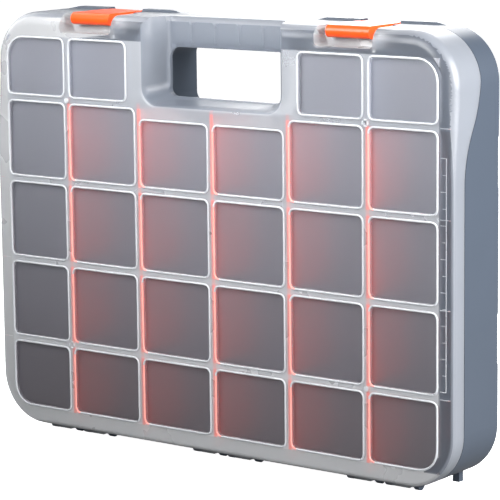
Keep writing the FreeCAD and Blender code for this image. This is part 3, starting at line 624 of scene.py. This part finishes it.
@dataclass
class Lid:
    """Frosted lid with clear windows, round beads and a moulded ruler.

    Attributes:
        window_radius: Corner radius of the bead lines, in mm as all lengths here.
        corner_radius: The same at the four outer corners of the field of windows.
        pane_rim: How far a window's edge reaches outside its bead line.
        level_play: Play in the test of a pane's depth.
        flat_share: Share of a face's normal along Y from which the face counts as flat.
        normal_weight: Weight of the large faces in the shading.
        roll_depth: Depth at which the rolled edge turns into the skirt.
        skirt_wall: Width of the skirt, seen from the front.
        case_corner: Corner radius of the case.
        moulded_edge: From the middle to the top row's inner window edges on the frame.
        scoop_half: Half width of the scoop.
        scoop_drop: From the top edge to the foot of the scoop.
        recess_x: From the middle to the middle of a latch recess.
        recess_half: Half width of a latch recess.
        recess_drop: From the top edge to the foot of a latch recess.
        bead_radius: Radius of the half-round beads.
        bead_steps: Faces across a bead.
        bead_crease: Angle in degrees from which an edge of the beads stays crisp.
        bead_merge: Distance within which the ends of a bead are joined.
        corner_steps: Steps in a bead's corner.
        ruler_x: Place of the ruler's long line.
        ruler_low: Height of the ruler's zero.
        inch: Length of an inch.
        inches: Length of the ruler in inches.
        tick_long: Length of the ticks at whole inches.
        tick_short: Length of the ticks between them.
        line_width: Width of the raised lines.
        line_height: Height of the raised lines.
        line_edge: Bevel on the raised lines.
        digit_height: Size of the numbers.
        digit_gap: From the end of a long tick to the middle of its number.
        digit_rise: From a tick up to the middle of its number.
        margin_line: Length of the lines across the side margins.
    """

    window_radius: float = 5.0
    corner_radius: float = 17.0
    pane_rim: float = 1.2
    level_play: float = 0.1
    flat_share: float = 0.99
    normal_weight: int = 100
    roll_depth: float = 1.2
    skirt_wall: float = 4.0
    case_corner: float = 42.0
    moulded_edge: float = 81.5
    scoop_half: float = 74.0
    scoop_drop: float = 76.0
    recess_x: float = 128.4
    recess_half: float = 29.0
    recess_drop: float = 17.5
    bead_radius: float = 0.9
    bead_steps: int = 6
    bead_crease: float = 60.0
    bead_merge: float = 0.01
    corner_steps: int = 5
    ruler_x: float = 222.0
    ruler_low: float = 85.0
    inch: float = 25.4
    inches: int = 7
    tick_long: float = 5.0
    tick_short: float = 3.2
    line_width: float = 0.55
    line_height: float = 0.3
    line_edge: float = 0.12
    digit_height: float = 5.2
    digit_gap: float = 2.6
    digit_rise: float = 3.6
    margin_line: float = 9.0

    def build(self) -> None:
        """Make all pieces of the lid."""
        self.shell()
        self.beads()
        self.ruler()
        self.margin_lines()

    def shell(self) -> None:
        """Copy the lid's moulding and give each of its zones its finish."""
        mesh = merged_copy("lid")
        self.move_top_edges(mesh)
        self.clear_bead_lines(mesh)
        self.cut_zones(mesh)
        # Some zones get lit and shaded copies of the plastic: painted light and shade.
        for face in mesh.faces:
            face.material_index = self.zone(face)
        piece = new_piece("lid_shell", mesh, [finish.material() for finish in LID_FINISHES])
        smooth(piece)
        for face in piece.data.polygons:
            face.use_smooth = face.material_index != LidZone.PANE
        even = piece.modifiers.new("even_normals", "WEIGHTED_NORMAL")
        even.keep_sharp = True
        even.weight = self.normal_weight
        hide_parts("lid")
        join_body(piece, Body.LID)

    def move_top_edges(self, mesh: bmesh.types.BMesh) -> None:
        """Bring the handle side of the two windows beside the scoop to its bead line.

        Args:
            mesh: Copy of the lid's moulding.
        """
        low, high = LAYOUT.rib_z(1), LAYOUT.top - LAYOUT.field_top_drop + self.pane_rim
        reach = self.window_radius + self.pane_rim
        shift = (LAYOUT.top_cell_edge - self.moulded_edge) * MM
        for vert in mesh.verts:
            place = vert.co / MM
            beside = -self.pane_rim < abs(place.x) - self.moulded_edge < reach
            in_front = place.y < LAYOUT.pane_back + self.line_height
            if beside and low < place.z < high and in_front:
                vert.co.x += math.copysign(shift, place.x)

    def clear_bead_lines(self, mesh: bmesh.types.BMesh) -> None:
        """Level the square moulded beads, which the round ones replace.

        Args:
            mesh: Copy of the lid's moulding.
        """
        level = LAYOUT.deep(0.0) * MM
        for vert in mesh.verts:
            if vert.co.y < level and self.in_window(vert.co / MM):
                vert.co.y = level
        bmesh.ops.remove_doubles(mesh, verts=mesh.verts, dist=MERGE)
        bmesh.ops.dissolve_degenerate(mesh, edges=mesh.edges, dist=MERGE)

    def cut_zones(self, mesh: bmesh.types.BMesh) -> None:
        """Cut the faces along the lines where the finish changes.

        Args:
            mesh: Copy of the lid's moulding.
        """
        half, low, high = self.field()
        for cut, normal in (
            ((0.0, LAYOUT.deep(self.roll_depth), 0.0), AXIS_Y),
            ((-half, 0.0, 0.0), AXIS_X),
            ((half, 0.0, 0.0), AXIS_X),
            ((0.0, 0.0, low), AXIS_Z),
            ((0.0, 0.0, high), AXIS_Z),
        ):
            bmesh.ops.bisect_plane(
                mesh, geom=mesh.verts[:] + mesh.edges[:] + mesh.faces[:],
                plane_co=Vector(cut) * MM, plane_no=normal,
            )

    def zone(self, face: bmesh.types.BMFace) -> LidZone:
        """Find the zone of one face of the shell.

        Args:
            face: Face of the lid's moulding.

        Returns:
            The zone whose finish the face gets.
        """
        place = face.calc_center_median() / MM
        if place.y < LAYOUT.deep(-self.line_height):
            return LidZone.RAISED
        if self.on_pane(place, abs(face.normal.y) > self.flat_share):
            return LidZone.PANE
        if place.y > LAYOUT.deep(self.roll_depth):
            # Painted light in the latch recesses, where the latches cast their shade.
            if self.in_recess(place):
                return LidZone.EDGE
            if self.on_skirt(place):
                return LidZone.SKIRT
            if self.in_scoop(place):
                return LidZone.SCOOP
        if self.in_margin(place):
            _half, low, _high = self.field()
            # Painted light on the left and the bottom margin, painted shade on the top and the
            # right one.
            lit = place.x < -self.recess_x or place.z < low
            return LidZone.EDGE if lit else LidZone.MARGIN
        return LidZone.PLATE

    def field(self) -> tuple[float, float, float]:
        """Measure the field of windows.

        Returns:
            Its half width, its bottom and its top, in mm.
        """
        rim = self.pane_rim
        return (
            LAYOUT.width / 2 - LAYOUT.field_margin + rim,
            LAYOUT.foot + LAYOUT.field_bottom - rim,
            LAYOUT.top - LAYOUT.field_top_drop + rim,
        )

    def in_window(self, place: Vector) -> bool:
        """Tell if a place, in mm, lies in a window or on its rim."""
        return any(window.holds(place, self.pane_rim) for window in LAYOUT.windows())

    def on_pane(self, place: Vector, flat: bool) -> bool:
        """Tell if a face belongs to a pane or to the step round it.

        Args:
            place: Middle of the face, in mm.
            flat: True where the face looks straight to the front or the back.

        Returns:
            True for the pane's two sides and its step.
        """
        if flat:
            levels = (LAYOUT.pane_front, LAYOUT.pane_back)
            return min(abs(place.y - level) for level in levels) < self.level_play
        return LAYOUT.deep(0.0) < place.y < LAYOUT.pane_back and self.in_window(place)

    def in_margin(self, place: Vector) -> bool:
        """Tell if a place lies outside the round-cornered field of windows.

        Args:
            place: Point on the lid, in mm.

        Returns:
            True outside the field.
        """
        half, low, high = self.field()
        radius = self.corner_radius + self.pane_rim
        across = max(abs(place.x) - half + radius, 0.0)
        along = max(place.z - high + radius, low + radius - place.z, 0.0)
        return math.hypot(across, along) > radius

    def in_recess(self, place: Vector) -> bool:
        """Tell if a place, in mm, lies in one of the two latch recesses."""
        beside = abs(abs(place.x) - self.recess_x) < self.recess_half
        return beside and LAYOUT.top - place.z < self.recess_drop

    def in_scoop(self, place: Vector) -> bool:
        """Tell if a place, in mm, lies in the handle scoop."""
        return abs(place.x) < self.scoop_half and place.z > LAYOUT.top - self.scoop_drop

    def on_skirt(self, place: Vector) -> bool:
        """Tell if a place lies in the lid's outer skirt.

        Args:
            place: Point on the lid, in mm.

        Returns:
            True within the skirt's width from the case's outline.
        """
        side = LAYOUT.width / 2 - abs(place.x)
        end = min(LAYOUT.top - place.z, place.z - LAYOUT.foot)
        corner = self.case_corner
        if side < corner and end < corner:
            return math.hypot(corner - side, corner - end) > corner - self.skirt_wall
        return min(side, end) < self.skirt_wall

    def beads(self) -> None:
        """Run a half-round bead round every window."""
        mesh = bmesh.new()
        rows, columns = LAYOUT.rows, LAYOUT.columns
        ends = ((rows, 1), (rows, columns), (1, columns), (1, 1))
        for window in LAYOUT.windows():
            place = (window.row, window.column)
            radii = [self.corner_radius if place == end else self.window_radius for end in ends]
            self.bead_loop(mesh, window, radii)
        bmesh.ops.remove_doubles(mesh, verts=mesh.verts, dist=self.bead_merge * MM)
        bmesh.ops.recalc_face_normals(mesh, faces=mesh.faces)
        piece = new_piece("lid_beads", mesh, [BEAD.material(), PINK_BEAD.material()])
        smooth(piece, self.bead_crease)
        join_body(piece, Body.LID)

    def bead_loop(self, mesh: bmesh.types.BMesh, window: Window, radii: list[float]) -> None:
        """Sweep a half circle round one window.

        Args:
            mesh: Bmesh that gets the bead.
            window: Window with its bead lines.
            radii: Corner radii from the lower left, anticlockwise.
        """
        left, right, low, high = window.left, window.right, window.low, window.high
        y = LAYOUT.deep(0.0)
        start = Vector((left + radii[0], y, low)) * MM
        profile = []
        for step in range(self.bead_steps + 1):
            turn = math.pi * step / self.bead_steps
            offset = Vector((0.0, -math.sin(turn), -math.cos(turn))) * (self.bead_radius * MM)
            profile.append(mesh.verts.new(start + offset))
        geometry = profile + [mesh.edges.new(pair) for pair in zip(profile, profile[1:])]
        corners = ((right, low), (right, high), (left, high), (left, low))
        sides = ((1, 0), (0, 1), (-1, 0), (0, -1))
        lengths = (
            right - left - radii[0] - radii[1],
            high - low - radii[1] - radii[2],
            right - left - radii[2] - radii[3],
            high - low - radii[3] - radii[0],
        )
        for number, ((x, z), (run_x, run_z), length) in enumerate(zip(corners, sides, lengths)):
            radius = radii[(number + 1) % 4]
            edges = [item for item in geometry if isinstance(item, bmesh.types.BMEdge)]
            swept = bmesh.ops.extrude_edge_only(mesh, edges=edges)["geom"]
            for face in (item for item in swept if isinstance(item, bmesh.types.BMFace)):
                face.material_index = int(window.over_divider and run_z < 0)
            moved = [item for item in swept if isinstance(item, bmesh.types.BMVert)]
            bmesh.ops.translate(mesh, verts=moved, vec=Vector((run_x, 0.0, run_z)) * (length * MM))
            side_x, side_z = sides[(number + 1) % 4]
            centre = Vector((x + (side_x - run_x) * radius, y, z + (side_z - run_z) * radius)) * MM
            ring = [item for item in swept if not isinstance(item, bmesh.types.BMFace)]
            geometry = bmesh.ops.spin(
                mesh, geom=ring, cent=centre, axis=-AXIS_Y, angle=math.pi / 2,
                steps=self.corner_steps,
            )["geom_last"]

    def margin_lines(self) -> None:
        """Draw the fine witness lines that cross both side margins at each row."""
        mesh = bmesh.new()
        half = LAYOUT.width / 2 - LAYOUT.field_margin / 2
        for row in range(1, LAYOUT.rows):
            for side in (-1, 1):
                self.bar(mesh, side * half, LAYOUT.rib_z(row), self.margin_line, self.line_width)
        piece = new_piece("lid_margin_lines", mesh, [FROSTED.material()])
        join_body(piece, Body.LID)

    def ruler(self) -> None:
        """Raise a scale of half-inch ticks and plain numbers on the right margin."""
        mesh = bmesh.new()
        length = self.inch * self.inches
        self.bar(mesh, self.ruler_x, self.ruler_low + length / 2, self.line_width, length)
        for half in range(2 * self.inches + 1):
            wide = self.tick_long if half % 2 == 0 else self.tick_short
            z = self.ruler_low + half * self.inch / 2
            self.bar(mesh, self.ruler_x - wide / 2, z, wide, self.line_width)
        for number in range(self.inches + 1):
            self.digit(mesh, str(number), self.ruler_low + number * self.inch)
        piece = new_piece("lid_ruler", mesh, [FROSTED.material()])
        join_body(piece, Body.LID)

    def bar(self, mesh: bmesh.types.BMesh, x: float, z: float, wide: float, tall: float) -> None:
        """Add one raised bar with soft edges on the lid's face.

        Args:
            mesh: Bmesh that gets the bar.
            x: Middle of the bar, in mm.
            z: Middle of the bar's height.
            wide: Width of the bar.
            tall: Height of the bar.
        """
        made = bmesh.ops.create_cube(mesh, size=1.0)["verts"]
        bmesh.ops.scale(mesh, verts=made, vec=Vector((wide, 2 * self.line_height, tall)) * MM)
        bmesh.ops.translate(mesh, verts=made, vec=Vector((x, LAYOUT.deep(0.0), z)) * MM)
        edges = {edge for vert in made for edge in vert.link_edges}
        bmesh.ops.bevel(
            mesh, geom=list(edges), offset=self.line_edge * MM, affect="EDGES", segments=2,
            profile=0.5, material=-1,
        )

    def digit(self, mesh: bmesh.types.BMesh, text: str, z: float) -> None:
        """Add one raised number beside its tick.

        Args:
            mesh: Bmesh that gets the number.
            text: The number.
            z: Height of the tick, in mm.
        """
        curve = bpy.data.curves.new("digit", "FONT")
        curve.body = text
        curve.size = self.digit_height * MM
        curve.extrude = self.line_height * MM
        curve.align_x = "CENTER"
        curve.align_y = "CENTER"
        holder = bpy.data.objects.new("digit", curve)
        bpy.context.scene.collection.objects.link(holder)
        graph = bpy.context.evaluated_depsgraph_get()
        flat = bpy.data.meshes.new_from_object(holder.evaluated_get(graph))
        x = self.ruler_x - self.tick_long - self.digit_gap
        stand = Matrix.Rotation(math.pi / 2, 4, "X")
        shift = Matrix.Translation(Vector((x, LAYOUT.deep(0.0), z + self.digit_rise)) * MM)
        flat.transform(shift @ stand)
        mesh.from_mesh(flat)
        bpy.data.objects.remove(holder)
        bpy.data.curves.remove(curve)
        bpy.data.meshes.remove(flat)


@dataclass
class Tray:
    """Slate grey tray with its fixed walls."""

    def build(self) -> None:
        """Dress the tray and the walls that are moulded with it."""
        slate, cell = SLATE.material(), CELL_SLATE.material()
        for name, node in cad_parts.items():
            if name == "tray":
                dress(node, slate)
            elif name.startswith(("row_wall", "top_cell_wall")):
                dress(node, cell)


@dataclass
class Dividers:
    """Orange plates that part each row into cells."""

    def build(self) -> None:
        """Dress every divider."""
        finish = DIVIDER_ORANGE.material()
        for name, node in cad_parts.items():
            if name.startswith("divider"):
                dress(node, finish)


@dataclass
class Latches:
    """Two orange latches over the top edge.

    Attributes:
        edge: Width of the rounding on the edges, in mm.
        edge_steps: Faces across that rounding.
        edge_angle: Angle in degrees from which an edge is rounded.
        flat_angle: Angle in degrees up to which neighbouring triangles become one face.
    """

    edge: float = 0.7
    edge_steps: int = 3
    edge_angle: float = 40.0
    flat_angle: float = 1.0

    def build(self) -> None:
        """Round the edges of both latches."""
        finish = LATCH_ORANGE.material()
        for body in (Body.LATCH_LEFT, Body.LATCH_RIGHT):
            mesh = merged_copy(body.value)
            bmesh.ops.dissolve_limit(
                mesh, angle_limit=math.radians(self.flat_angle), verts=mesh.verts, edges=mesh.edges
            )
            piece = new_piece(body.value + "_moulding", mesh, [finish])
            smooth(piece)
            rounding = piece.modifiers.new("rounding", "BEVEL")
            rounding.width = self.edge * MM
            rounding.segments = self.edge_steps
            rounding.limit_method = "ANGLE"
            rounding.angle_limit = math.radians(self.edge_angle)
            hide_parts(body.value)
            join_body(piece, body)


@dataclass(frozen=True)
class Lamp:
    """One soft square lamp.

    Attributes:
        name: Name of the lamp.
        place: Where it hangs, in metres.
        aim: Point that it faces.
        size: Side of the square.
        watts: Power.
        beam: Angle of its beam, in degrees.
    """

    name: str
    place: tuple[float, float, float]
    aim: tuple[float, float, float]
    size: float
    watts: float
    beam: float = 180.0

    def hang(self) -> None:
        """Add the lamp to the scene."""
        data = bpy.data.lights.new(self.name, "AREA")
        data.size = self.size
        data.energy = self.watts
        data.spread = math.radians(self.beam)
        lamp = bpy.data.objects.new(self.name, data)
        lamp.location = self.place
        facing = Vector(self.aim) - Vector(self.place)
        lamp.rotation_euler = facing.to_track_quat("-Z", "Y").to_euler()
        bpy.context.scene.collection.objects.link(lamp)


LAMPS = (
    Lamp("overhead", (-0.15, -0.6, 0.72), (0.0, 0.0, 0.46), size=0.6, watts=3.5, beam=76.0),
    Lamp("front_fill", (-1.0, -1.8, 1.7), (0.0, 0.0, 0.3), size=1.4, watts=1.0),
    Lamp("right_fill", (1.1, 0.05, 0.6), (0.2, 0.0, 0.25), size=0.7, watts=32.0),
    Lamp("low_fill", (1.3, -1.2, 0.25), (0.0, 0.0, 0.12), size=0.6, watts=2.3, beam=76.0),
    Lamp("left_glow", (-1.0, 0.1, 0.8), (-0.2, 0.0, 0.3), size=0.7, watts=7.0),
    Lamp("rear_fill", (-0.8, 1.8, 1.1), (0.0, 0.0, 0.2), size=1.2, watts=30.0),
)


@dataclass
class Studio:
    """Pale floor, soft lights and the photograph's camera.

    Attributes:
        floor_size: Side of the floor, in metres.
        floor_tone: Colour of the floor to the light that it throws on the case.
        floor_seen: Colour of the floor to the camera.
        floor_glow: Strength of the floor's own light to the camera.
        world_strength: Strength of the even light.
        camera_place: Where the camera stands, in metres.
        camera_turn: How it is turned about X, Y and Z, in degrees.
        lens: Focal length in mm.
        sensor: Width of the sensor in mm.
        sight: How far the camera sees, in metres.
    """

    floor_size: float = 60.0
    floor_tone: str = "#707070"
    floor_seen: str = "#F7F7F7"
    floor_glow: float = 1.0
    world_strength: float = 0.09
    camera_place: tuple[float, float, float] = (1.23194, -1.61394, 0.51256)
    camera_turn: tuple[float, float, float] = (80.3915, 0.6449, 36.9294)
    lens: float = 183.138
    sensor: float = 36.0
    sight: float = 100.0

    def build(self) -> None:
        """Set up the floor, the light and the camera."""
        self.floor()
        self.world()
        for lamp in LAMPS:
            lamp.hang()
        self.camera()
        bpy.context.scene.view_settings.view_transform = "Standard"

    def floor(self) -> None:
        """Lay a wide floor that is paler to the camera than to the case."""
        mesh = bmesh.new()
        bmesh.ops.create_grid(mesh, x_segments=2, y_segments=2, size=self.floor_size / 2)
        finish = bpy.data.materials.new("studio_floor")
        finish.use_nodes = True
        tree = finish.node_tree
        tree.nodes.clear()
        seen = add_node(tree, "ShaderNodeLightPath").outputs["Is Camera Ray"]
        pale = add_node(
            tree, "ShaderNodeMix", data_type="RGBA", links={0: seen},
            values={MIX_A: linear(self.floor_tone), MIX_B: linear(self.floor_seen)},
        )
        glow = add_node(
            tree, "ShaderNodeMath", operation="MULTIPLY",
            values={1: self.floor_glow}, links={0: seen},
        )
        shader = add_node(
            tree, "ShaderNodeBsdfPrincipled",
            values={"Roughness": 0.9, "Emission Color": linear("#FFFFFF")},
            links={"Base Color": pale.outputs[MIX_RESULT], "Emission Strength": glow.outputs[0]},
        )
        add_node(tree, "ShaderNodeOutputMaterial", links={"Surface": shader.outputs[0]})
        piece = new_piece("studio_floor", mesh, [finish])

    def world(self) -> None:
        """Fill the room with even white light."""
        world = bpy.data.worlds.new("studio_world")
        world.use_nodes = True
        back = world.node_tree.nodes["Background"]
        back.inputs["Color"].default_value = linear("#FFFFFF")
        back.inputs["Strength"].default_value = self.world_strength
        bpy.context.scene.world = world

    def camera(self) -> None:
        """Stand the camera where the photograph was taken from."""
        data = bpy.data.cameras.new("photo_camera")
        data.lens = self.lens
        data.sensor_width = self.sensor
        data.clip_end = self.sight
        camera = bpy.data.objects.new("photo_camera", data)
        camera.location = self.camera_place
        camera.rotation_euler = Euler([math.radians(turn) for turn in self.camera_turn], "XYZ")
        bpy.context.scene.collection.objects.link(camera)
        bpy.context.scene.camera = camera


def main() -> None:
    """Build the organizer's sub-assemblies, then the studio."""
    logging.basicConfig(level=logging.INFO)
    for assembly in (Tray(), Dividers(), Lid(), Latches(), Studio()):
        assembly.build()


if __name__ == "__main__":
    main()
